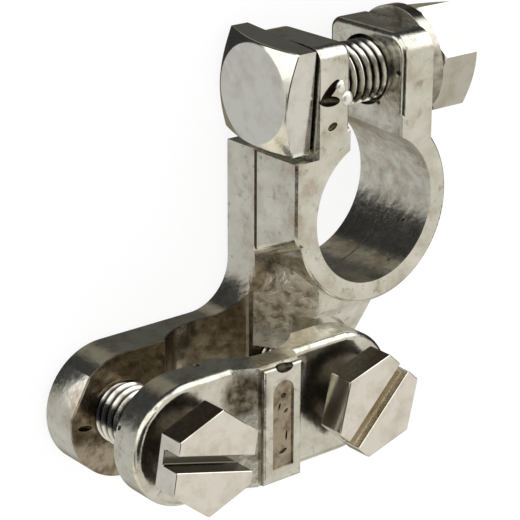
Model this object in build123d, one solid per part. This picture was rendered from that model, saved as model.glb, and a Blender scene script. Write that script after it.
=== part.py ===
"""Battery terminal clamp: a split post ring with a cable bed, closed by a bolt, and a screwed cable bridge.

Millimetres, +Z up. The origin is on the axis of the post ring, at the casting's flat underside.
+X runs along the clamp bolt, from its square head to its nut. +Y runs from the ring to the lugs.
"""
import math
import os
from build123d import *

os.makedirs("parts", exist_ok=True)

# post ring: the bore is tapered like the battery post
ring_radius = 12.1
ring_height = 14.0
bore_radius_top = 9.49
bore_radius_bottom = 10.14
ring_edge = 0.45

# lugs on both sides of the split
gap_width = 8.58
lug_thickness = 4.91
lug_side = gap_width / 2 + lug_thickness
left_lug_front_corner = 1.9
left_lug_back_corner = 3.0
right_lug_front_corner = 3.0
right_lug_back_corner = 1.6
gap_edge = 0.8

# split spring washer between the right lug and the nut
washer_thickness = 1.8
washer_radius = 7.4
washer_hole_radius = 4.35
washer_edge = 0.25
washer_slit = 1.2
washer_clearance = 0.35

# clamp bolt and nut, M8: the bolt lies where the washer clears the ring
thread_radius = 4.0
running_clearance = 0.05
bolt_y = math.sqrt(ring_radius**2 - lug_side**2) + washer_radius + washer_clearance
left_lug_top = bolt_y + 6.19
right_lug_top = bolt_y + 5.69
bolt_z = 6.6
lug_hole_radius = 4.5
head_across = 13.0
head_disc_radius = 6.15
head_chamfer = 1.53
head_height = 4.45
head_turn = 4.75
bolt_length = 28.6
bolt_end_chamfer = 0.9
nut_across = 13.0
nut_face_radius = 6.3
nut_height = 6.5
nut_turn = -13.2
bore_countersink = 0.5

# block beside the ring, whose top edge keeps the square head from turning
block_side = 12.8
block_top = bolt_y - 7.41
block_end_top = -2.8
block_end_bottom = -6.2
block_end_edge = 2.0
block_front_edge = 0.3

# flat cable bed
bed_height = 5.7
bed_wall = 12.4
bed_fillet = 6.1
bed_edge = 0.25
casting_left = -40.3
ear_radius = 8.0
ear_y = -21.4
left_ear_x = casting_left + ear_radius
right_ear_x = -7.6

# trough that the cable lies in
trough_x = -19.9
trough_radius = 9.2
trough_floor = 2.9

# neck: a web that ramps from the ring down to the bed, with a shelf for the bridge to come down on
web_top = 13.2
web_ring_y = -12.1
web_end_y = -17.6
web_end_height = 10.0
web_right = right_ear_x + ear_radius + 0.2
flank_foot_x = -12.7
flank_top_x = -8.3
shelf_height = 10.2
bridge_play = 0.45
hollow_x = -14.2
hollow_y = -6.6
hollow_radius = 4.2

# cable screws
left_screw_x = left_ear_x - 0.48
right_screw_x = right_ear_x - 0.03
screw_y = ear_y + 0.41
screw_tip = 0.4
collar_radius = 4.6
screw_seat = 20.3
screw_top = 24.0
screw_across = 11.45
screw_head_edge = 0.35
slot_width = 1.9
slot_depth = 2.7
left_hex_turn = -39.4
right_hex_turn = 16.5
left_slot_turn = -15.7
right_slot_turn = 45.4

# cable bridge
strap_bottom = 13.3
strap_top = 18.0
strap_radius = 7.8
strap_left_x = left_ear_x + 0.3
strap_right_x = right_ear_x - 0.8
strap_y = ear_y + 0.3
strap_edge = 0.9
bump_left_foot = -25.7
bump_left_slope = 2.8
bump_shoulder = 19.3
bump_right_foot = -16.3
arch_x = -19.3
arch_half_width = 6.4
arch_rise = 3.0
rib_left = -22.7
rib_right = -16.9
rib_top = 20.3
rib_inset = 0.3
rib_edge = 0.4
panel_margin = 1.3
panel_depth = 0.3


def prism(points, depth, plane):
    """Solid made from a closed outline, drawn in a plane and pushed along its normal."""
    return extrude(plane * make_face(Polyline(points + [points[0]])), depth)


def box(x0, x1, y0, y1, z0, z1):
    """Box between two corners."""
    middle = Pos((x0 + x1) / 2, (y0 + y1) / 2, (z0 + z1) / 2)
    return middle * Box(x1 - x0, y1 - y0, z1 - z0)


def upright(x, y, z0, z1, radius):
    """Round bar standing along Z."""
    return Pos(x, y, z0) * Cylinder(radius, z1 - z0, align=(Align.CENTER, Align.CENTER, Align.MIN))


def along_x(x0, x1, radius):
    """Round bar on the clamp bolt's axis."""
    bar = Cylinder(radius, x1 - x0, align=(Align.CENTER, Align.CENTER, Align.MIN))
    return Pos(x0, bolt_y, bolt_z) * Rot(0, 90, 0) * bar


def stadium(x0, x1, y, radius, z0, z1):
    """Upright slab with two round ends."""
    middle = box(x0, x1, y - radius, y + radius, z0, z1)
    return middle + upright(x0, y, z0, z1, radius) + upright(x1, y, z0, z1, radius)


def turned(profile, axis_place):
    """Solid of revolution from (radius, height) points, standing on the given place."""
    face = make_face(Polyline([(r, 0, z) for r, z in profile] + [(profile[0][0], 0, profile[0][1])]))
    return axis_place * revolve(face, Axis.Z)


def hexagon(across, height, turn):
    """Hexagonal bar from its width across flats, with one corner at the given angle."""
    return extrude(Rot(0, 0, turn) * RegularPolygon(across / math.sqrt(3), 6), height)


# ring, lugs and block
ring_blank = upright(0, 0, 0, ring_height, ring_radius)
ring_blank = fillet(ring_blank.edges().filter_by(GeomType.CIRCLE), ring_edge)
lugs = []
for side, top, front_corner, back_corner in (
    (-1, left_lug_top, left_lug_front_corner, left_lug_back_corner),
    (1, right_lug_top, right_lug_front_corner, right_lug_back_corner),
):
    inner = side * gap_width / 2
    outer = side * lug_side
    lug = box(min(inner, outer), max(inner, outer), 0, top, 0, ring_height)
    front_edge = lug.edges().filter_by(Axis.X).group_by(Axis.Y)[-1].sort_by(Axis.Z)[-1]
    lug = fillet(front_edge, front_corner)
    back_edge = lug.edges().filter_by(Axis.X).group_by(Axis.Z)[0].sort_by(Axis.Y)[-1]
    lug = fillet(back_edge, back_corner)
    inner_edges = lug.edges().filter_by(Axis.Y).group_by(Axis.Z)[-1].sort_by(lambda e: abs(e.center().X))
    lugs.append(fillet(inner_edges[0], gap_edge))
block_end = [
    (block_top, bed_height),
    (block_top, ring_height),
    (block_end_top, ring_height),
    (block_end_bottom, bed_height),
]
block = Pos(-block_side, 0, 0) * prism(block_end, block_side, Plane.YZ)
end_edge = block.edges().filter_by(Plane.YZ).group_by(Axis.X)[0].sort_by(Axis.Y)[0]
block = fillet(end_edge, block_end_edge)
block = chamfer(block.edges().filter_by(Axis.Y).group_by(Axis.Z)[-1].sort_by(Axis.X)[0], block_front_edge)

# flat cable bed: its outline runs from the block down the side wall, round the concave corner,
# out along the arm, round the left ear, back to the right ear and up under the ring
corner_x = -bed_wall - bed_fillet
arm_top = ear_y + ear_radius
bed_wall_bottom = arm_top + bed_fillet
bend = bed_fillet * math.sqrt(0.5)
arm_bottom = ear_y - ear_radius
outline = [
    Line((0, block_top), (-bed_wall, block_top)),
    Line((-bed_wall, block_top), (-bed_wall, bed_wall_bottom)),
    ThreePointArc((-bed_wall, bed_wall_bottom), (corner_x + bend, bed_wall_bottom - bend), (corner_x, arm_top)),
    Line((corner_x, arm_top), (left_ear_x, ear_y + ear_radius)),
    ThreePointArc((left_ear_x, ear_y + ear_radius), (left_ear_x - ear_radius, ear_y), (left_ear_x, arm_bottom)),
    Line((left_ear_x, arm_bottom), (right_ear_x, arm_bottom)),
    ThreePointArc(
        (right_ear_x, arm_bottom),
        (right_ear_x + ear_radius * math.sqrt(0.5), ear_y - ear_radius * math.sqrt(0.5)),
        (right_ear_x + ear_radius, ear_y),
    ),
    Line((right_ear_x + ear_radius, ear_y), (web_right, web_end_y)),
    Line((web_right, web_end_y), (web_right, 0)),
    Line((web_right, 0), (0, 0)),
    Line((0, 0), (0, block_top)),
]
bed = extrude(make_face(Curve() + outline), bed_height)
bed = chamfer(bed.edges().group_by(Axis.Z)[0], bed_edge)
trough_z = trough_floor + trough_radius
trough = Cylinder(trough_radius, 2 * ear_radius + 8)
bed -= Pos(trough_x, ear_y, trough_z) * Rot(90, 0, 0) * trough

# neck: its cross-section has a slanting flank toward the cable, its side view is a ramp
flank = [(flank_foot_x, bed_height), (flank_top_x, web_top), (web_right, web_top), (web_right, bed_height)]
neck = Pos(0, -ring_radius / 2, 0) * prism(flank, -web_end_y - ring_radius / 2, Plane.XZ)
ramp = [(web_ring_y, web_top), (web_end_y, web_end_height), (web_end_y, web_top + 1), (web_ring_y, web_top + 1)]
neck -= Pos(flank_foot_x - 1, 0, 0) * prism(ramp, web_right - flank_foot_x + 2, Plane.YZ)
neck -= stadium(strap_left_x, strap_right_x, strap_y, strap_radius + bridge_play, shelf_height, ring_height)
neck -= upright(hollow_x, hollow_y, bed_height, ring_height, hollow_radius)

casting = ring_blank + lugs[0] + lugs[1] + block + bed + neck

# bore, split and holes
bore = Cone(bore_radius_bottom, bore_radius_top, ring_height, align=(Align.CENTER, Align.CENTER, Align.MIN))
casting -= bore
casting -= box(-gap_width / 2, gap_width / 2, 0, left_lug_top + 5, -1, ring_height + 1)
casting -= along_x(-lug_side - 5, lug_side + 5, lug_hole_radius)
for x in (left_screw_x, right_screw_x):
    casting -= upright(x, screw_y, -1, ring_height, thread_radius + running_clearance)

# square-head clamp bolt
bolt_seat = -lug_side
bolt_face = bolt_seat - head_height
corner_radius = head_across * math.sqrt(0.5)
head_profile = [
    (0, 0),
    (head_disc_radius, 0),
    (corner_radius + 0.05, head_chamfer),
    (corner_radius + 0.05, head_height),
    (0, head_height),
]
head_place = Pos(bolt_face, bolt_y, bolt_z) * Rot(0, 90, 0)
square = Rot(0, 0, head_turn) * Box(
    head_across, head_across, head_height, align=(Align.CENTER, Align.CENTER, Align.MIN)
)
head = head_place * square & turned(head_profile, head_place)
shank = along_x(bolt_seat - 0.5, bolt_seat + bolt_length, thread_radius)
shank = chamfer(shank.edges().sort_by(Axis.X)[-1], bolt_end_chamfer)
clamp_bolt = head + shank

# split spring washer: its slit is at the bottom
nut_start = lug_side + washer_thickness
washer_blank = along_x(lug_side, nut_start, washer_radius)
washer_blank = chamfer(washer_blank.edges().filter_by(GeomType.CIRCLE), washer_edge)
lock_washer = washer_blank - along_x(lug_side - 1, nut_start + 1, washer_hole_radius)
slit_start = bolt_y - washer_slit / 2
slit_end = bolt_y + washer_slit / 2
lock_washer -= box(lug_side - 1, nut_start + 1, slit_start, slit_end, bolt_z - 2 * washer_radius, bolt_z)

# hexagonal clamp nut
nut_corner = nut_across / math.sqrt(3) + 0.05
nut_chamfer = (nut_corner - nut_face_radius) * math.tan(math.radians(30))
nut_profile = [
    (0, 0),
    (nut_face_radius, 0),
    (nut_corner, nut_chamfer),
    (nut_corner, nut_height - nut_chamfer),
    (nut_face_radius, nut_height),
    (0, nut_height),
]
nut_place = Pos(nut_start, bolt_y, bolt_z) * Rot(0, 90, 0)
clamp_nut = nut_place * hexagon(nut_across, nut_height, nut_turn) & turned(nut_profile, nut_place)
clamp_nut -= along_x(nut_start - 1, nut_start + nut_height + 1, thread_radius + running_clearance)
sink_radius = thread_radius + running_clearance + bore_countersink
for start, r0, r1 in (
    (nut_start, sink_radius, sink_radius - bore_countersink),
    (nut_start + nut_height - bore_countersink, sink_radius - bore_countersink, sink_radius),
):
    sink = Cone(r0, r1, bore_countersink, align=(Align.CENTER, Align.CENTER, Align.MIN))
    clamp_nut -= Pos(start, bolt_y, bolt_z) * Rot(0, 90, 0) * sink


def cable_screw(x, hex_turn, slot_turn):
    """Slotted hexagon-head screw: its collar stands on the bridge and its shank runs into the casting."""
    height = screw_top - screw_seat
    top = hexagon(screw_across, height, hex_turn)
    top = chamfer(top.edges().group_by(Axis.Z)[-1], screw_head_edge)
    slot = Rot(0, 0, slot_turn) * box(-screw_across, screw_across, -slot_width / 2, slot_width / 2, 0, 9)
    top = Pos(x, screw_y, screw_seat) * (top - Pos(0, 0, height - slot_depth) * slot)
    collar = upright(x, screw_y, strap_top, screw_seat, collar_radius)
    body = upright(x, screw_y, screw_tip, strap_top, thread_radius)
    body = chamfer(body.edges().sort_by(Axis.Z)[0], bolt_end_chamfer)
    return top + collar + body


# cable bridge: a strap with round ears, an arched bump over the cable and a rib with a sunk panel
strap = stadium(strap_left_x, strap_right_x, strap_y, strap_radius, strap_bottom, strap_top)
strap = fillet(strap.edges().group_by(Axis.Z)[-1], strap_edge)
strap = chamfer(strap.edges().group_by(Axis.Z)[0], strap_edge / 3)
bump_points = [
    (bump_left_foot, strap_top - 1),
    (bump_left_foot, strap_top),
    (bump_left_foot + bump_left_slope, bump_shoulder),
    (rib_right, bump_shoulder),
    (bump_right_foot, strap_top),
    (bump_right_foot, strap_top - 1),
]
bump = Pos(0, strap_y + strap_radius, 0) * prism(bump_points, 2 * strap_radius, Plane.XZ)
rib_length = 2 * (strap_radius - rib_inset)
rib = box(rib_left, rib_right, strap_y - rib_length / 2, strap_y + rib_length / 2, strap_top, rib_top)
rib = fillet(rib.edges().group_by(Axis.Z)[-1], rib_edge)
panel_left = rib_left + panel_margin
panel_right = rib_right - panel_margin
panel_end = rib_length / 2 - panel_margin - 0.5
panel_radius = (panel_right - panel_left) / 2
panel_middle = (panel_left + panel_right) / 2
panel_floor = rib_top - panel_depth
panel_top_y = strap_y + panel_end - panel_radius
panel = box(panel_left, panel_right, strap_y - panel_end, panel_top_y, panel_floor, rib_top + 1)
panel += upright(panel_middle, panel_top_y, panel_floor, rib_top + 1, panel_radius)
arch_radius = (arch_half_width**2 + arch_rise**2) / (2 * arch_rise)
arch = Pos(arch_x, strap_y, strap_bottom + arch_rise - arch_radius) * Rot(90, 0, 0)
cable_bridge = strap + bump + rib - panel - arch * Cylinder(arch_radius, 4 * strap_radius)
for x in (left_screw_x, right_screw_x):
    cable_bridge -= upright(x, screw_y, strap_bottom - 1, strap_top + 1, thread_radius + running_clearance)

pieces = {
    "terminal_casting": casting,
    "clamp_bolt": clamp_bolt,
    "lock_washer": lock_washer,
    "clamp_nut": clamp_nut,
    "cable_bridge": cable_bridge,
    "left_cable_screw": cable_screw(left_screw_x, left_hex_turn, left_slot_turn),
    "right_cable_screw": cable_screw(right_screw_x, right_hex_turn, right_slot_turn),
}
for name, piece in pieces.items():
    solids = piece.solids()
    print(name, len(solids), "solids, volume", round(sum(s.volume for s in solids), 2))
    export_step(piece, f"parts/{name}.step")
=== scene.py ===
import math

import bpy
from mathutils import Matrix, Vector


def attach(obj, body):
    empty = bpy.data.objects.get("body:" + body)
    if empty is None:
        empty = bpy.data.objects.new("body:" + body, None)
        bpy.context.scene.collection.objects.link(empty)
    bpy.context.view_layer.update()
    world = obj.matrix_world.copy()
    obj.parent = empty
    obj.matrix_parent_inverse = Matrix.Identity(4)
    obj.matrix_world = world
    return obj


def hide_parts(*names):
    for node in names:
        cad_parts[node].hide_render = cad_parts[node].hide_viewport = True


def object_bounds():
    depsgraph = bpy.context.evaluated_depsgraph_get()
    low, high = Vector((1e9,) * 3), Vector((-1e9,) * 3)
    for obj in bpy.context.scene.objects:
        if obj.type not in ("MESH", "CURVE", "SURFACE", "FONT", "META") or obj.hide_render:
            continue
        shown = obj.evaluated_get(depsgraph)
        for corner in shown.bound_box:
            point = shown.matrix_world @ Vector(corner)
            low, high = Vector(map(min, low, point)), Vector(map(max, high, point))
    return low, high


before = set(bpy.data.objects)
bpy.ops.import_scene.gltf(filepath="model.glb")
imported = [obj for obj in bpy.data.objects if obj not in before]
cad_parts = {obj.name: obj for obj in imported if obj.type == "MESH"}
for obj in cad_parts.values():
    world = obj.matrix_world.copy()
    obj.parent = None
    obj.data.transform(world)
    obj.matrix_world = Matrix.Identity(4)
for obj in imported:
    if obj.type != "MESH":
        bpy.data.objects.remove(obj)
cad_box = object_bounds()
bpy.ops.object.select_all(action="DESELECT")
bpy.context.scene.view_settings.view_transform = "Standard"

# ---- Terminal casting ------------------------------------------------------------------------
# Post ring, lugs, side block, neck and cable bed are one brass casting, tinned and tumbled. The
# walls keep fine waves and pits, the edges are rounded, and the neck is lumpy, with dirt and painted
# shade.
MM = 0.001


def wake(piece):
    """Makes the piece the only selected object and the active one."""
    bpy.ops.object.select_all(action="DESELECT")
    piece.select_set(True)
    bpy.context.view_layer.objects.active = piece


def finish_with(piece, kind, **settings):
    """Adds a modifier with its settings and applies it."""
    wake(piece)
    modifier = piece.modifiers.new(kind.lower(), kind)
    for key, value in settings.items():
        setattr(modifier, key, value)
    bpy.ops.object.modifier_apply(modifier=modifier.name)


def combine(piece, tool, how):
    """Cuts, joins or intersects a piece with a tool, and throws the tool away."""
    finish_with(piece, "BOOLEAN", object=tool, operation=how, solver="EXACT")
    bpy.data.objects.remove(tool)


def placed():
    """The primitive that was just added, with its place, turn and scale kept in its mesh."""
    piece = bpy.context.active_object
    bpy.ops.object.transform_apply(location=True, rotation=True, scale=True)
    return piece


def copy_of(part, name):
    """A piece that starts from a part's shape, with its loose triangles joined into plain faces."""
    piece = bpy.data.objects.new(name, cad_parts[part].data.copy())
    bpy.context.scene.collection.objects.link(piece)
    piece.data.materials.clear()
    wake(piece)
    bpy.ops.object.mode_set(mode="EDIT")
    bpy.ops.mesh.select_all(action="SELECT")
    bpy.ops.mesh.remove_doubles(threshold=0.003 * MM)
    bpy.ops.mesh.normals_make_consistent(inside=False)
    bpy.ops.mesh.dissolve_limited(angle_limit=math.radians(0.3))
    bpy.ops.object.mode_set(mode="OBJECT")
    return piece


def round_and_shade(piece, width, segments, edge_angle, smooth_angle):
    """Rounds the sharp edges, then shades the curves smooth and keeps the flats flat."""
    finish_with(
        piece,
        "BEVEL",
        width=width,
        segments=segments,
        limit_method="ANGLE",
        angle_limit=math.radians(edge_angle),
    )
    wake(piece)
    bpy.ops.object.shade_smooth_by_angle(angle=math.radians(smooth_angle))
    finish_with(piece, "WEIGHTED_NORMAL", keep_sharp=True, weight=80)


def linear(code):
    """Scene colour of an sRGB hex code."""
    parts = [int(code[i : i + 2], 16) / 255 for i in (1, 3, 5)]
    return [c / 12.92 if c <= 0.04045 else ((c + 0.055) / 1.055) ** 2.4 for c in parts] + [1]


def node(tree, kind, settings=(), values=(), links=()):
    """Adds a shader node, sets its properties and sockets, and links its inputs."""
    made = tree.nodes.new(kind)
    for key, value in dict(settings).items():
        setattr(made, key, value)
    for key, value in dict(values).items():
        made.inputs[key].default_value = value
    for key, source in dict(links).items():
        tree.links.new(source, made.inputs[key])
    return made


def new_metal(name):
    """A metal material: its node tree and its shader."""
    material = bpy.data.materials.new(name)
    material.use_nodes = True
    shader = material.node_tree.nodes["Principled BSDF"]
    shader.inputs["Metallic"].default_value = 1
    return material, material.node_tree, shader


def painted_shade_metal(name, light, dark):
    """Dark metal as painted shade in hollows and under parts: a dull surface of two tones, mottled every
    half a millimetre.
    """
    material, tree, shader = new_metal(name)
    place = node(tree, "ShaderNodeTexCoord").outputs["Object"]
    mottle = node(
        tree,
        "ShaderNodeTexNoise",
        values={"Scale": 1 / (0.5 * MM), "Detail": 3},
        links={"Vector": place},
    )
    tone = node(
        tree,
        "ShaderNodeMix",
        {"data_type": "RGBA"},
        {"A": linear(dark), "B": linear(light)},
        {"Factor": mottle.outputs["Fac"]},
    )
    tree.links.new(tone.outputs["Result"], shader.inputs["Base Color"])
    shader.inputs["Roughness"].default_value = 0.35
    return material


def painted_highlight_metal(name, colour):
    """Nearly white metal with a soft shine: a painted highlight."""
    material, tree, shader = new_metal(name)
    shader.inputs["Base Color"].default_value = linear(colour)
    shader.inputs["Roughness"].default_value = 0.42
    return material


def pits_of(tree, place):
    """Where pits lie: some cells of a 2.2 mm pattern hold one, each of its own width."""
    cells = node(tree, "ShaderNodeTexVoronoi", values={"Scale": 1 / (2.2 * MM)}, links={"Vector": place})
    chance = node(tree, "ShaderNodeSeparateColor", links={"Color": cells.outputs["Color"]})
    reach = node(
        tree,
        "ShaderNodeMapRange",
        values={"From Min": 0.82, "From Max": 1.0, "To Min": 0.0, "To Max": 0.24},
        links={"Value": chance.outputs["Red"]},
    )
    inside = node(
        tree,
        "ShaderNodeMath",
        {"operation": "SUBTRACT"},
        links={0: reach.outputs["Result"], 1: cells.outputs["Distance"]},
    )
    return node(
        tree,
        "ShaderNodeMapRange",
        values={"From Min": 0.0, "From Max": 0.12},
        links={"Value": inside.outputs["Value"]},
    ).outputs["Result"]


def dirt_and_shade_of(tree, place, patches, centre, reach):
    """Where dirt and painted shade lie: full near its centre, and gone at its reach, with a ragged
    border.
    """
    far = node(
        tree, "ShaderNodeVectorMath", {"operation": "DISTANCE"}, {1: centre}, {0: place}
    ).outputs["Value"]
    ragged = node(
        tree,
        "ShaderNodeMath",
        {"operation": "MULTIPLY_ADD"},
        {1: -2.4 * MM},
        {0: patches.outputs["Fac"], 2: far},
    )
    return node(
        tree,
        "ShaderNodeMapRange",
        {"interpolation_type": "SMOOTHSTEP"},
        {"From Min": reach - 1.2 * MM, "From Max": reach - 3.0 * MM},
        {"Value": ragged.outputs["Value"]},
    ).outputs["Result"]


def bed_of(tree, place, height, beside, top, trough_centre, trough_radius):
    """The bed: its flat top with the rounded edge, and the round trough along Y, but not its walls."""
    level = node(
        tree,
        "ShaderNodeMath",
        {"operation": "COMPARE"},
        {1: top - 0.14 * MM, 2: 0.16 * MM},
        {0: height},
    )
    across = node(
        tree, "ShaderNodeVectorMath", {"operation": "MULTIPLY"}, {1: (1, 0, 1)}, {0: place}
    ).outputs["Vector"]
    trough = node(
        tree, "ShaderNodeVectorMath", {"operation": "DISTANCE"}, {1: trough_centre}, {0: across}
    ).outputs["Value"]
    sunk = node(
        tree,
        "ShaderNodeMapRange",
        values={"From Min": trough_radius + 0.3 * MM, "From Max": trough_radius + 0.1 * MM},
        links={"Value": trough},
    )
    either = node(
        tree,
        "ShaderNodeMath",
        {"operation": "MAXIMUM"},
        links={0: level.outputs["Value"], 1: sunk.outputs["Result"]},
    )
    return node(
        tree,
        "ShaderNodeMath",
        {"operation": "MULTIPLY"},
        links={0: either.outputs["Value"], 1: beside},
    ).outputs["Value"]


def bore_of(tree, place):
    """The wall of the post's bore, which is round the Z axis."""
    across = node(
        tree, "ShaderNodeVectorMath", {"operation": "MULTIPLY"}, {1: (1, 1, 0)}, {0: place}
    ).outputs["Vector"]
    radius = node(
        tree, "ShaderNodeVectorMath", {"operation": "LENGTH"}, links={0: across}
    ).outputs["Value"]
    return node(
        tree,
        "ShaderNodeMapRange",
        values={"From Min": 10.6 * MM, "From Max": 10.2 * MM},
        links={"Value": radius},
    ).outputs["Result"]


def worn_spots(tree, lumps, bore, height):
    """Brown spots where the tin has worn thin: few outside, and many down in the bore."""
    spots = node(
        tree,
        "ShaderNodeMapRange",
        values={"From Min": 0.58, "From Max": 0.70, "To Max": 0.5},
        links={"Value": lumps.outputs["Fac"]},
    )
    soot = node(
        tree,
        "ShaderNodeMapRange",
        values={"From Min": 0.36, "From Max": 0.62, "To Max": 0.42},
        links={"Value": lumps.outputs["Fac"]},
    )
    below = node(
        tree,
        "ShaderNodeMapRange",
        values={"From Min": 13.7 * MM, "From Max": 12.6 * MM},
        links={"Value": height},
    )
    soot = node(
        tree,
        "ShaderNodeMath",
        {"operation": "MULTIPLY"},
        links={0: soot.outputs["Result"], 1: below.outputs["Result"]},
    )
    soot = node(
        tree,
        "ShaderNodeMath",
        {"operation": "MULTIPLY"},
        links={0: soot.outputs["Value"], 1: bore},
    )
    return node(
        tree,
        "ShaderNodeMath",
        {"operation": "MAXIMUM"},
        links={0: spots.outputs["Result"], 1: soot.outputs["Value"]},
    ).outputs["Value"]


def tinned_brass(
    name, seed, dirt_and_shade_centre, dirt_and_shade_reach, dirt_and_shade_tones, bed_top, trough_centre, trough_radius
):
    """Tinned brass, sand cast and tumbled: warm light grey with faint pink and green patches a few
    millimetres wide, soft waves, grain of 0.4 mm and scattered pits. Round the centre of dirt and
    shade it is mottled brown and olive, partly dirt and partly painted shade. The faces at the bed's
    level and in its trough are a darker mottled tone: grime with painted shade over it."""
    material, tree, shader = new_metal(name)
    place = node(tree, "ShaderNodeTexCoord").outputs["Object"]
    moved = node(tree, "ShaderNodeMapping", values={"Location": (seed, 0, 0)}, links={"Vector": place})
    moved = moved.outputs["Vector"]
    patches = node(
        tree,
        "ShaderNodeTexNoise",
        values={"Scale": 1 / (3.4 * MM), "Detail": 5, "Roughness": 0.6},
        links={"Vector": moved},
    )
    waves = node(
        tree,
        "ShaderNodeTexNoise",
        values={"Scale": 1 / (2.6 * MM), "Detail": 2, "Roughness": 0.5},
        links={"Vector": moved},
    )
    grain = node(
        tree,
        "ShaderNodeTexNoise",
        values={"Scale": 1 / (0.4 * MM), "Detail": 3, "Roughness": 0.6},
        links={"Vector": moved},
    )
    lumps = node(
        tree,
        "ShaderNodeTexNoise",
        values={"Scale": 1 / (1.3 * MM), "Detail": 4, "Roughness": 0.6},
        links={"Vector": moved},
    )

    # where on the piece each kind of wear lies
    parts = node(tree, "ShaderNodeSeparateXYZ", links={"Vector": place})
    height = parts.outputs["Z"]
    beside = node(
        tree,
        "ShaderNodeMapRange",
        values={"From Min": -6.5 * MM, "From Max": -9.0 * MM},
        links={"Value": parts.outputs["Y"]},
    ).outputs["Result"]
    pits = pits_of(tree, moved)
    dirt_and_shade = dirt_and_shade_of(tree, place, patches, dirt_and_shade_centre, dirt_and_shade_reach)
    bed = bed_of(tree, place, height, beside, bed_top, trough_centre, trough_radius)
    bore = bore_of(tree, place)
    spots = worn_spots(tree, lumps, bore, height)

    # colour: patches, then dirt and painted shade, the bed's grime and painted shade, worn spots and
    # pits over them
    tone = node(tree, "ShaderNodeValToRGB", links={"Fac": patches.outputs["Fac"]})
    tone.color_ramp.elements[0].position = 0.30
    tone.color_ramp.elements[0].color = linear("#BFB2A4")
    tone.color_ramp.elements[1].position = 0.70
    tone.color_ramp.elements[1].color = linear("#E6E3DC")
    tone.color_ramp.elements.new(0.48).color = linear("#D3D3C8")
    brown = node(tree, "ShaderNodeValToRGB", links={"Fac": lumps.outputs["Fac"]})
    brown.color_ramp.elements[0].position = 0.36
    brown.color_ramp.elements[0].color = linear(dirt_and_shade_tones[0])
    brown.color_ramp.elements[1].position = 0.66
    brown.color_ramp.elements[1].color = linear(dirt_and_shade_tones[2])
    brown.color_ramp.elements.new(0.5).color = linear(dirt_and_shade_tones[1])
    mottle = node(
        tree,
        "ShaderNodeMapRange",
        values={"From Min": 0.32, "From Max": 0.68},
        links={"Value": lumps.outputs["Fac"]},
    )
    # grime with painted shade: the bed's faces are darker and mottled, as in the shade under the bridge
    grime_and_shade_tone = node(
        tree,
        "ShaderNodeMix",
        {"data_type": "RGBA"},
        {"A": linear("#736856"), "B": linear("#B8AD9A")},
        {"Factor": mottle.outputs["Result"]},
    )
    tone = node(
        tree,
        "ShaderNodeMix",
        {"data_type": "RGBA"},
        links={"Factor": dirt_and_shade, "A": tone.outputs["Color"], "B": brown.outputs["Color"]},
    )
    tone = node(
        tree,
        "ShaderNodeMix",
        {"data_type": "RGBA"},
        links={"Factor": bed, "A": tone.outputs["Result"], "B": grime_and_shade_tone.outputs["Result"]},
    )
    for slot_floor_tone, code in ((spots, "#8A7C68"), (pits, "#4E463A")):
        tone = node(
            tree,
            "ShaderNodeMix",
            {"data_type": "RGBA"},
            {"B": linear(code)},
            {"Factor": slot_floor_tone, "A": tone.outputs["Result"]},
        )
    tree.links.new(tone.outputs["Result"], shader.inputs["Base Color"])

    # roughness: satin, duller on the bed's rounded edge and under the dirt and painted shade
    edge = node(
        tree,
        "ShaderNodeMath",
        {"operation": "COMPARE"},
        {1: bed_top - 0.16 * MM, 2: 0.12 * MM},
        {0: height},
    )
    edge = node(
        tree,
        "ShaderNodeMath",
        {"operation": "MULTIPLY"},
        links={0: edge.outputs["Value"], 1: beside},
    ).outputs["Value"]
    rough = node(
        tree,
        "ShaderNodeMapRange",
        values={"From Min": 0.3, "From Max": 0.7, "To Min": 0.15, "To Max": 0.25},
        links={"Value": grain.outputs["Fac"]},
    ).outputs["Result"]
    for dull, more in ((edge, 0.4), (dirt_and_shade, 0.18)):
        rough = node(
            tree,
            "ShaderNodeMath",
            {"operation": "MULTIPLY_ADD"},
            {1: more},
            {0: dull, 2: rough},
        ).outputs["Value"]
    tree.links.new(rough, shader.inputs["Roughness"])

    # relief: waves, grain, lumps under the dirt and painted shade and faintly in the bore, and sunk pits
    relief = node(
        tree,
        "ShaderNodeBump",
        values={"Strength": 0.5, "Distance": 0.16 * MM},
        links={"Height": waves.outputs["Fac"]},
    )
    relief = node(
        tree,
        "ShaderNodeBump",
        values={"Strength": 0.35, "Distance": 0.035 * MM},
        links={"Height": grain.outputs["Fac"], "Normal": relief.outputs["Normal"]},
    )
    rugged = node(
        tree,
        "ShaderNodeMath",
        {"operation": "MULTIPLY_ADD"},
        {1: 0.16},
        {0: bore, 2: dirt_and_shade},
    )
    relief = node(
        tree,
        "ShaderNodeBump",
        values={"Distance": 0.22 * MM},
        links={
            "Strength": rugged.outputs["Value"],
            "Height": lumps.outputs["Fac"],
            "Normal": relief.outputs["Normal"],
        },
    )
    relief = node(
        tree,
        "ShaderNodeBump",
        {"invert": True},
        {"Strength": 0.8, "Distance": 0.12 * MM},
        {"Height": pits, "Normal": relief.outputs["Normal"]},
    )
    tree.links.new(relief.outputs["Normal"], shader.inputs["Normal"])
    return material


def paint(tool, piece, number):
    """Gives a tool a piece's materials, and all its faces the material of that number."""
    for material in piece.data.materials:
        tool.data.materials.append(material)
    for face in tool.data.polygons:
        face.material_index = number


def oval_ball(piece, number, at, halves, turn=0):
    """A ball with three half widths, in a piece's material, all in millimetres and degrees."""
    bpy.ops.mesh.primitive_uv_sphere_add(segments=32, ring_count=16, radius=1, location=(0, 0, 0))
    ball = bpy.context.active_object
    paint(ball, piece, number)
    ball.data.transform(
        Matrix.Translation(Vector(at) * MM)
        @ Matrix.Rotation(math.radians(turn), 4, "Z")
        @ Matrix.Diagonal((*(half * MM for half in halves), 1))
    )
    return ball


def dent(piece, at, length, width, depth, turn):
    """Sinks a hollow with an oval rim into a level face, in the piece's second material, whose dark
    colour is painted shade.
    """
    combine(piece, oval_ball(piece, 1, at, (length / 2, width / 2, depth), turn), "DIFFERENCE")


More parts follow.
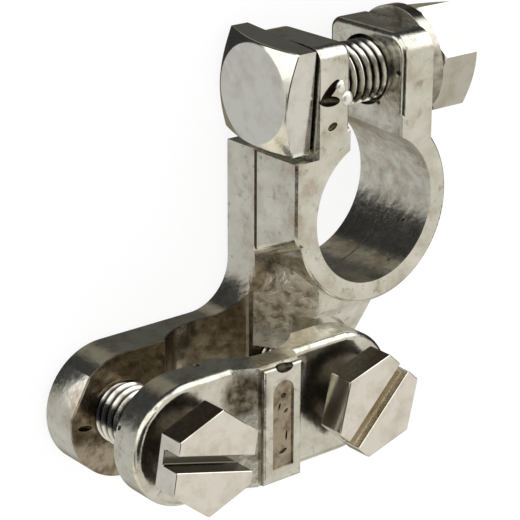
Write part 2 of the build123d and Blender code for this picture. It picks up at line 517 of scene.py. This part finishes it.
casting = copy_of("terminal_casting", "cast_terminal")
# the neck is mottled with dirt and painted shade, and the bed's top and trough carry grime with painted
# shade from under the bridge
casting.data.materials.append(
    tinned_brass(
        "tinned_cast_brass",
        seed=0.0,
        dirt_and_shade_centre=(-13.0 * MM, -10.0 * MM, 10.0 * MM),
        dirt_and_shade_reach=6.6 * MM,
        dirt_and_shade_tones=("#8E8472", "#C6BDAC", "#E4DED1"),
        bed_top=5.7 * MM,
        trough_centre=(-19.9 * MM, 0, 12.1 * MM),
        trough_radius=9.2 * MM,
    )
)
casting.data.materials.append(painted_shade_metal("painted_shade_cast_hollow", "#6E6553", "#1A1712"))
casting.data.materials.append(painted_highlight_metal("painted_highlight_bead", "#FAFAF6"))

# a crooked dent and a small one in the left lug's front face, and one in the left ear, painted dark as
# shade
dent(casting, (-7.75, 16.4, 14.0), length=3.8, width=1.2, depth=1.1, turn=42)
dent(casting, (-7.7, 15.2, 14.0), length=3.2, width=1.3, depth=0.9, turn=-6)
dent(casting, (-7.2, 12.0, 14.0), length=1.5, width=0.9, depth=0.4, turn=20)
dent(casting, (-38.4, -21.6, 5.7), length=2.0, width=0.7, depth=0.6, turn=-10)

# the mould's parting line, sunk into the step beside the block, its groove painted dark as shade
bpy.ops.mesh.primitive_cylinder_add(
    vertices=24,
    radius=0.3 * MM,
    depth=20 * MM,
    location=(-12.95 * MM, 0, 6.3 * MM),
    rotation=(math.radians(90), 0, 0),
)
parting_line = placed()
paint(parting_line, casting, 1)
combine(casting, parting_line, "DIFFERENCE")

# a flat ground on the left ear's upper edge: which way it faces, and a point on it
FLAT_FACING = Vector((-0.845, 0.475, 0.25)).normalized()
FLAT_POINT = Vector((-39.18, -17.38, 3.76)) * MM
GRINDER_SIZE = 8 * MM
bpy.ops.mesh.primitive_cube_add(size=GRINDER_SIZE, location=(0, 0, 0))
grinder = bpy.context.active_object
grinder.data.transform(
    Matrix.Translation(FLAT_POINT + FLAT_FACING * GRINDER_SIZE / 2)
    @ FLAT_FACING.to_track_quat("Z", "Y").to_matrix().to_4x4()
)
combine(casting, grinder, "DIFFERENCE")

# two small beads beside the crooked dent, coloured nearly white: a painted highlight
for x, y, size in ((-6.0, 16.75, 0.7), (-5.0, 15.1, 0.85)):
    bead = oval_ball(casting, 2, (x, y, 13.9), (size, size * 1.15, size * 0.7))
    combine(casting, bead, "UNION")
round_and_shade(casting, width=0.3 * MM, segments=3, edge_angle=28, smooth_angle=22)
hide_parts("terminal_casting")
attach(casting, "casting")

# ---- Cable bridge ----------------------------------------------------------------------------
# The bridge is the same tinned brass: a strap with round ears, arched over the cable and
# stiffened by a rib with a shallow sunk panel.
bridge = copy_of("cable_bridge", "cast_bridge")
# the dark patch on the bump's left flank beside the left screw head is painted shade; the sunk panel
# takes the bed's darker mottled tone
bridge.data.materials.append(
    tinned_brass(
        "tinned_bridge_brass",
        seed=0.05,
        dirt_and_shade_centre=(-24.4 * MM, -16.6 * MM, 18.4 * MM),
        dirt_and_shade_reach=3.6 * MM,
        dirt_and_shade_tones=("#4A4336", "#70685A", "#A49B8B"),
        bed_top=20.0 * MM,
        trough_centre=(0, 0, 0),
        trough_radius=0,
    )
)
bridge.data.materials.append(painted_shade_metal("painted_shade_bridge_hollow", "#6A6050", "#1E1B16"))
round_and_shade(bridge, width=0.25 * MM, segments=3, edge_angle=22, smooth_angle=21)

# a notch in the rib's end, and small pits in its sunk panel, painted dark as shade
dent(bridge, (-19.6, -13.7, 20.3), length=2.6, width=1.5, depth=1.0, turn=-4)
for x, y, length, width, depth, turn in (
    (-19.6, -17.5, 0.8, 0.6, 0.3, 0),
    (-20.2, -18.8, 0.9, 0.3, 0.2, 70),
    (-19.2, -19.6, 0.7, 0.4, 0.2, 30),
    (-19.1, -22.9, 0.3, 1.3, 0.2, -4),
    (-19.6, -24.8, 1.2, 0.5, 0.3, 15),
):
    dent(bridge, (x, y, 20.0), length, width, depth, turn)
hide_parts("cable_bridge")
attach(bridge, "bridge")

# ---- Clamp bolt ------------------------------------------------------------------------------
# A square-head M8 bolt of plated steel. The head's outer face is chamfered to a disc, and its
# lower side lies over the casting's ledge, which keeps it from turning.
BOLT_Y = 15.61 * MM
BOLT_Z = 6.6 * MM
PITCH = 1.25 * MM
MAJOR = 3.98 * MM
MINOR = 3.33 * MM
LUG_FACE = 9.2 * MM
HEAD_BACK = -9.5 * MM
HEAD_FRONT = -13.65 * MM
HEAD_ACROSS = 13 * MM
HEAD_DISC = 6.15 * MM
HEAD_TURN = 4.75
CHAMFER_SPREAD = 1.99
SHANK_LENGTH = 28.4 * MM
THREAD_SMOOTH = math.radians(18)


def threaded_bar(name, length):
    """Bar with a rolled M8 thread, standing on the origin along Z, its two ends cut flat. One point
    is drawn along the thread's profile (root, flank, crest and flank), which is then wound up."""
    spare_turns = 2
    bpy.ops.mesh.primitive_plane_add(size=1 * MM, location=(MINOR, 0, -spare_turns * PITCH))
    bar = bpy.context.active_object
    bar.name = name
    bpy.ops.object.transform_apply(location=True)
    bpy.ops.object.mode_set(mode="EDIT")
    bpy.ops.mesh.select_all(action="SELECT")
    bpy.ops.mesh.merge(type="CENTER")
    for outward, along in ((0, 0.12), (1, 0.36), (0, 0.10), (-1, 0.42)):
        move = (outward * (MAJOR - MINOR), 0, along * PITCH)
        bpy.ops.mesh.extrude_vertices_move(TRANSFORM_OT_translate={"value": move})
    bpy.ops.object.mode_set(mode="OBJECT")
    finish_with(
        bar,
        "SCREW",
        axis="Z",
        angle=2 * math.pi,
        screw_offset=PITCH,
        iterations=math.ceil(length / PITCH) + 2 * spare_turns,
        steps=48,
        render_steps=48,
        use_merge_vertices=True,
        merge_threshold=0.001 * MM,
    )
    bpy.ops.object.mode_set(mode="EDIT")
    # the spare turns at both ends are cut off, and the cuts are filled
    for height, keep_above in ((0, True), (length, False)):
        bpy.ops.mesh.select_all(action="SELECT")
        bpy.ops.mesh.bisect(
            plane_co=(0, 0, height),
            plane_no=(0, 0, 1),
            use_fill=True,
            clear_inner=keep_above,
            clear_outer=not keep_above,
        )
    bpy.ops.mesh.select_all(action="SELECT")
    bpy.ops.mesh.remove_doubles(threshold=0.001 * MM)
    bpy.ops.mesh.normals_make_consistent(inside=False)
    bpy.ops.object.mode_set(mode="OBJECT")
    wake(bar)
    bpy.ops.object.shade_smooth_by_angle(angle=THREAD_SMOOTH)
    return bar


def rod(radius, start, end, vertices=128):
    """A plain round bar on the clamp bolt's axis, from one place along X to another."""
    bpy.ops.mesh.primitive_cylinder_add(
        vertices=vertices,
        radius=radius,
        depth=end - start,
        location=((start + end) / 2, BOLT_Y, BOLT_Z),
        rotation=(0, math.radians(90), 0),
    )
    return placed()


def join(first, *others):
    """Joins pieces into one object."""
    bpy.ops.object.select_all(action="DESELECT")
    for piece in (first, *others):
        piece.select_set(True)
    bpy.context.view_layer.objects.active = first
    bpy.ops.object.join()
    return first


def plated_steel(name, light, dark, seed, axis=(0, 0, 0), across=(0, 0, 0)):
    """Zinc-plated steel, forged and handled: a neutral bright grey with faint stains a few
    millimetres wide and grain of half a millimetre. A thread's roots are painted dark as shade: they are
    found by how far they lie across from the thread's axis."""
    material, tree, shader = new_metal(name)
    place = node(tree, "ShaderNodeTexCoord").outputs["Object"]
    moved = node(tree, "ShaderNodeMapping", values={"Location": (seed, 0, 0)}, links={"Vector": place})
    moved = moved.outputs["Vector"]
    stains = node(
        tree,
        "ShaderNodeTexNoise",
        values={"Scale": 1 / (3.0 * MM), "Detail": 4, "Roughness": 0.6},
        links={"Vector": moved},
    )
    grain = node(
        tree,
        "ShaderNodeTexNoise",
        values={"Scale": 1 / (0.6 * MM), "Detail": 3, "Roughness": 0.55},
        links={"Vector": moved},
    )
    tone = node(tree, "ShaderNodeValToRGB", links={"Fac": stains.outputs["Fac"]})
    tone.color_ramp.elements[0].position = 0.34
    tone.color_ramp.elements[0].color = linear(dark)
    tone.color_ramp.elements[1].position = 0.56
    tone.color_ramp.elements[1].color = linear(light)
    offset = node(tree, "ShaderNodeVectorMath", {"operation": "SUBTRACT"}, {1: axis}, {0: place})
    offset = node(
        tree,
        "ShaderNodeVectorMath",
        {"operation": "MULTIPLY"},
        {1: across},
        {0: offset.outputs["Vector"]},
    )
    radius = node(
        tree, "ShaderNodeVectorMath", {"operation": "LENGTH"}, links={0: offset.outputs["Vector"]}
    ).outputs["Value"]
    # painted shade: the thread's roots are darkened
    root_shade = node(
        tree,
        "ShaderNodeMapRange",
        values={"From Min": MAJOR - 0.16 * MM, "From Max": MINOR + 0.2 * MM, "To Max": max(across)},
        links={"Value": radius},
    )
    tone = node(
        tree,
        "ShaderNodeMix",
        {"data_type": "RGBA"},
        {"B": linear("#2A2722")},
        {"Factor": root_shade.outputs["Result"], "A": tone.outputs["Color"]},
    )
    tree.links.new(tone.outputs["Result"], shader.inputs["Base Color"])
    rough = node(
        tree,
        "ShaderNodeMapRange",
        values={"From Min": 0.3, "From Max": 0.7, "To Min": 0.18, "To Max": 0.11},
        links={"Value": stains.outputs["Fac"]},
    )
    tree.links.new(rough.outputs["Result"], shader.inputs["Roughness"])
    relief = node(
        tree,
        "ShaderNodeBump",
        values={"Strength": 0.25, "Distance": 0.04 * MM},
        links={"Height": grain.outputs["Fac"]},
    )
    tree.links.new(relief.outputs["Normal"], shader.inputs["Normal"])
    return material


# the head: a square bar's end, cut by a cone that leaves a disc on its face
head_height = HEAD_BACK - HEAD_FRONT
head_middle = ((HEAD_BACK + HEAD_FRONT) / 2, BOLT_Y, BOLT_Z)
bpy.ops.mesh.primitive_cube_add(
    size=1,
    location=head_middle,
    rotation=(math.radians(HEAD_TURN), 0, 0),
    scale=(head_height, HEAD_ACROSS, HEAD_ACROSS),
)
bolt = placed()
bolt.name = "square_head_bolt"
bpy.ops.mesh.primitive_cone_add(
    vertices=128,
    radius1=HEAD_DISC + head_height * CHAMFER_SPREAD,
    radius2=HEAD_DISC,
    depth=head_height,
    location=head_middle,
    rotation=(0, math.radians(-90), 0),
)
combine(bolt, placed(), "INTERSECT")
round_and_shade(bolt, width=0.16 * MM, segments=2, edge_angle=20, smooth_angle=16)

# the shank is threaded from the lug's face on, and a plain neck joins it to the head
shank = threaded_bar("bolt_thread", SHANK_LENGTH)
shank.data.transform(
    Matrix.Translation((-LUG_FACE, BOLT_Y, BOLT_Z)) @ Matrix.Rotation(math.pi / 2, 4, "Y")
)
neck = rod(MAJOR, -LUG_FACE - 0.75 * MM, -LUG_FACE + 0.75 * MM, vertices=64)
bpy.ops.object.shade_smooth_by_angle(angle=THREAD_SMOOTH)
bolt.data.materials.append(plated_steel("zinc_plated_bolt", "#E0E0DB", "#D0CEC6", seed=0.3))
thread_steel = plated_steel(
    "rolled_bolt_thread", "#F0EFEA", "#DAD7CE", seed=0.4, axis=(0, BOLT_Y, BOLT_Z), across=(0, 1, 1)
)
shank.data.materials.append(thread_steel)
neck.data.materials.append(thread_steel)
bolt = join(bolt, shank, neck)
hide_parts("clamp_bolt")
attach(bolt, "bolt")

# ---- Lock washer -----------------------------------------------------------------------------
# A split spring washer lies between the right lug and the nut, with its slit at the bottom.
WASHER_RADIUS = 7.38 * MM
WASHER_HOLE = 4.37 * MM
WASHER_SLIT = 1.2 * MM
WASHER_GAP = 0.02 * MM
NUT_START = 11.0 * MM
washer = rod(WASHER_RADIUS, LUG_FACE + WASHER_GAP, NUT_START - WASHER_GAP)
washer.name = "split_lock_washer"
combine(washer, rod(WASHER_HOLE, LUG_FACE - MM, NUT_START + MM), "DIFFERENCE")
bpy.ops.mesh.primitive_cube_add(
    size=1, location=(LUG_FACE, BOLT_Y, BOLT_Z - 6 * MM), scale=(6 * MM, WASHER_SLIT, 6 * MM)
)
combine(washer, placed(), "DIFFERENCE")
round_and_shade(washer, width=0.22 * MM, segments=2, edge_angle=30, smooth_angle=20)
washer.data.materials.append(plated_steel("zinc_plated_washer", "#C9C5BC", "#8E8677", seed=0.9))
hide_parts("lock_washer")
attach(washer, "casting")

# ---- Clamp nut -------------------------------------------------------------------------------
# A plain M8 hexagon nut, chamfered at both faces, on the end of the clamp bolt.
NUT_HEIGHT = 6.5 * MM
NUT_ACROSS = 13 * MM
NUT_TURN = 16.8
NUT_DISC = 6.3 * MM
NUT_CONE_FOOT = 17.6 * MM
NUT_BORE = 4.03 * MM
nut_middle = (NUT_START + NUT_HEIGHT / 2, BOLT_Y, BOLT_Z)
bpy.ops.mesh.primitive_cylinder_add(
    vertices=6, radius=NUT_ACROSS / math.sqrt(3), depth=NUT_HEIGHT, location=(0, 0, 0)
)
nut = bpy.context.active_object
nut.name = "hex_nut"
nut.data.transform(
    Matrix.Translation(nut_middle)
    @ Matrix.Rotation(math.radians(NUT_TURN), 4, "X")
    @ Matrix.Rotation(math.radians(90), 4, "Y")
)
for turn in (90, -90):
    bpy.ops.mesh.primitive_cone_add(
        vertices=96,
        radius1=NUT_CONE_FOOT,
        radius2=NUT_DISC,
        depth=NUT_HEIGHT,
        location=nut_middle,
        rotation=(0, math.radians(turn), 0),
    )
    combine(nut, placed(), "INTERSECT")
nut_bore = rod(NUT_BORE, NUT_START - MM, NUT_START + NUT_HEIGHT + MM, vertices=64)
combine(nut, nut_bore, "DIFFERENCE")
round_and_shade(nut, width=0.15 * MM, segments=2, edge_angle=20, smooth_angle=16)
nut.data.materials.append(plated_steel("zinc_plated_nut", "#E6E3DB", "#D3CCBE", seed=0.6))
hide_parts("clamp_nut")
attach(nut, "nut")

# ---- Cable screws ----------------------------------------------------------------------------
# Two M8 screws with slotted hexagon heads hold the bridge. A round collar under each head stands
# on the bridge, and the shank runs down through it into the tapped ears of the bed.
SCREW_TIP = 0.4 * MM
STRAP_TOP = 18.0 * MM
SCREW_SEAT = 20.3 * MM
SCREW_TOP = 24.0 * MM
SCREW_Y = -20.99 * MM
SCREW_ACROSS = 11.45 * MM
COLLAR_RADIUS = 4.58 * MM
SLOT_WIDTH = 1.9 * MM
SLOT_DEPTH = 2.7 * MM
OVERLAP = 0.4 * MM
for side, x, hex_turn, slot_turn, slot_floor_tone in (
    ("left", -32.78 * MM, -39.4, -15.7, "#8E8A80"),
    ("right", -7.63 * MM, 16.5, 45.4, "#A99D86"),
):
    seed = x * 20
    steel = plated_steel("zinc_plated_" + side + "_screw", "#E9E6DF", "#D6D0C4", seed)
    dark_slot_floor_steel = plated_steel("dark_floor_" + side + "_slot", slot_floor_tone, slot_floor_tone, seed)
    painted_shade_steel = painted_shade_metal("painted_shade_" + side + "_collar", "#6A6255", "#2E2A23")
    thread = plated_steel(
        "rolled_" + side + "_thread", "#F0EFEA", "#DAD7CE", seed, axis=(x, SCREW_Y, 0), across=(1, 1, 0)
    )

    # the head, with painted shade below it and on the side that faces the ring
    bpy.ops.mesh.primitive_cylinder_add(
        vertices=6,
        radius=SCREW_ACROSS / math.sqrt(3),
        depth=SCREW_TOP - SCREW_SEAT,
        location=(0, 0, 0),
    )
    screw = bpy.context.active_object
    screw.name = side + "_slotted_screw"
    for material in (steel, dark_slot_floor_steel, painted_shade_steel):
        screw.data.materials.append(material)
    screw.data.transform(
        Matrix.Translation((x, SCREW_Y, (SCREW_TOP + SCREW_SEAT) / 2))
        @ Matrix.Rotation(math.radians(hex_turn - 90), 4, "Z")
    )
    bpy.ops.mesh.primitive_cube_add(
        size=1, location=(0, 0, 0), scale=(16 * MM, SLOT_WIDTH, 2 * SLOT_DEPTH)
    )
    slot = placed()
    for material in (steel, dark_slot_floor_steel):
        slot.data.materials.append(material)
    # the slot's floor takes a darker steel of its own tone
    for face in slot.data.polygons:
        if face.normal.z < -0.9:
            face.material_index = 1
    slot.data.transform(
        Matrix.Translation((x, SCREW_Y, SCREW_TOP)) @ Matrix.Rotation(math.radians(slot_turn), 4, "Z")
    )
    combine(screw, slot, "DIFFERENCE")
    # painted shade: the head's underside and its facets that face the ring take the dark material
    for face in screw.data.polygons:
        if face.normal.z < -0.9 or face.normal.y > 0.93:
            face.material_index = 2
    round_and_shade(screw, width=0.2 * MM, segments=3, edge_angle=25, smooth_angle=16)

    # the threaded shank, and the collar that stands on the bridge, dark all over as painted shade under
    # the head
    shank = threaded_bar(side + "_thread", STRAP_TOP + OVERLAP - SCREW_TIP)
    shank.data.transform(Matrix.Translation((x, SCREW_Y, SCREW_TIP)))
    shank.data.materials.append(thread)
    collar_height = SCREW_SEAT + OVERLAP - STRAP_TOP
    bpy.ops.mesh.primitive_cylinder_add(
        vertices=64,
        radius=COLLAR_RADIUS,
        depth=collar_height,
        location=(x, SCREW_Y, STRAP_TOP + collar_height / 2),
    )
    collar = placed()
    bpy.ops.object.shade_smooth_by_angle(angle=THREAD_SMOOTH)
    collar.data.materials.append(painted_shade_steel)
    screw = join(screw, shank, collar)
    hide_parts(side + "_cable_screw")
    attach(screw, side + "_screw")

# ---- Table, light and camera -----------------------------------------------------------------
# The clamp lies on a white sheet that is lit from below too. The room that its metal shows has
# light boxes above, at the left and behind to the right, and the dark camera between them.
bpy.ops.mesh.primitive_plane_add(size=3, location=(0, 0, cad_box[0].z))
sheet = bpy.context.active_object
sheet.name = "white_sheet"
paper = bpy.data.materials.new("white_paper")
paper.use_nodes = True
tree = paper.node_tree
shader = tree.nodes["Principled BSDF"]
shader.inputs["Base Color"].default_value = linear("#737373")
shader.inputs["Roughness"].default_value = 1
shader.inputs["Specular IOR Level"].default_value = 0
shader.inputs["Emission Color"].default_value = linear("#FFFFFF")
shader.inputs["Emission Strength"].default_value = 0.86

# metal doesn't mirror the sheet, but the light boxes that stand below its level
clear = node(tree, "ShaderNodeBsdfTransparent")
path = node(tree, "ShaderNodeLightPath")
seen = node(
    tree,
    "ShaderNodeMixShader",
    links={0: path.outputs["Is Glossy Ray"], 1: shader.outputs["BSDF"], 2: clear.outputs["BSDF"]},
)
tree.links.new(seen.outputs["Shader"], tree.nodes["Material Output"].inputs["Surface"])
sheet.data.materials.append(paper)

world = bpy.data.worlds.new("studio")
bpy.context.scene.world = world
world.use_nodes = True
tree = world.node_tree
way = node(tree, "ShaderNodeTexCoord").outputs["Generated"]
room = node(tree, "ShaderNodeRGB").outputs["Color"]
room.default_value = [0.80, 0.765, 0.70, 1]

# Each spot of the room has its direction, the cosines of the angles at which it is full and at
# which it ends, and its colour. A later spot lies over the ones before it.
for direction, full, outer, colour in (
    ((0, 0, -1), 0.60, 0.10, (0.61, 0.60, 0.575)),
    ((-0.14, -0.09, -0.99), 0.985, 0.93, (0.03, 0.03, 0.035)),
    ((0.45, 0.65, -0.61), 0.35, 0.15, (0.03, 0.03, 0.03)),
    ((0.59, -0.30, -0.75), 0.93, 0.75, (0.25, 0.22, 0.16)),
    ((0.95, 0.09, -0.29), 0.92, 0.82, (0.03, 0.03, 0.03)),
    ((0.59, -0.72, 0.36), 0.97, 0.93, (0.54, 0.52, 0.46)),
    ((-0.30, 0, 0.954), 0.902, 0.888, (0.04, 0.045, 0.045)),
    ((0, 0, 1), 0.985, 0.93, (1.0, 0.95, 0.80)),
    ((-0.62, 0, 0.78), 0.93, 0.86, (0.015, 0.015, 0.02)),
    ((-0.935, -0.36, 0.045), 0.985, 0.955, (0.24, 0.22, 0.18)),
    ((0.22, 0.68, -0.70), 0.99, 0.96, (0.25, 0.23, 0.18)),
    ((0.58, 0.36, -0.73), 0.985, 0.95, (0.085, 0.083, 0.073)),
    ((-0.84, 0.455, -0.30), 0.985, 0.95, (1.8, 1.77, 1.7)),
    ((-0.565, -0.763, -0.313), 0.96, 0.90, (1.0, 0.93, 0.75)),
    ((-0.87, 0.47, 0), 0.93, 0.88, (1.5, 1.48, 1.42)),
    ((-0.38, 0.78, 0.50), 0.94, 0.88, (1.5, 1.48, 1.42)),
    ((0.58, 0.71, 0.39), 0.93, 0.82, (1.8, 1.8, 1.78)),
):
    toward = node(
        tree,
        "ShaderNodeVectorMath",
        {"operation": "DOT_PRODUCT"},
        {1: Vector(direction).normalized()},
        {0: way},
    )
    amount = node(
        tree,
        "ShaderNodeMapRange",
        {"interpolation_type": "SMOOTHSTEP"},
        {"From Min": outer, "From Max": full},
        {"Value": toward.outputs["Value"]},
    )
    room = node(
        tree,
        "ShaderNodeMix",
        {"data_type": "RGBA"},
        {"B": (*colour, 1)},
        {"Factor": amount.outputs["Result"], "A": room},
    ).outputs["Result"]

# only metal shows the room; all else is lit by plain white
path = node(tree, "ShaderNodeLightPath")
room = node(
    tree,
    "ShaderNodeMix",
    {"data_type": "RGBA"},
    {"A": (1, 1, 1, 1)},
    {"Factor": path.outputs["Is Glossy Ray"], "B": room},
).outputs["Result"]
tree.links.new(room, tree.nodes["Background"].inputs["Color"])

CAMERA_PLACE = Vector((-0.15986, 0.08156, 0.18716))
CAMERA_RIGHT = Vector((0.77508, 0.00313, 0.63185))
CAMERA_UP = Vector((0.21979, 0.93620, -0.27426))
CAMERA_BACK = Vector((-0.59240, 0.35145, 0.72494))
camera_data = bpy.data.cameras.new("camera")
camera = bpy.data.objects.new("camera", camera_data)
bpy.context.scene.collection.objects.link(camera)
bpy.context.scene.camera = camera
camera_data.lens = 139.264
camera_data.sensor_width = 36
camera_data.clip_start = 0.01
camera_turn = Matrix((CAMERA_RIGHT, CAMERA_UP, CAMERA_BACK)).transposed().to_4x4()
camera.matrix_world = Matrix.Translation(CAMERA_PLACE) @ camera_turn
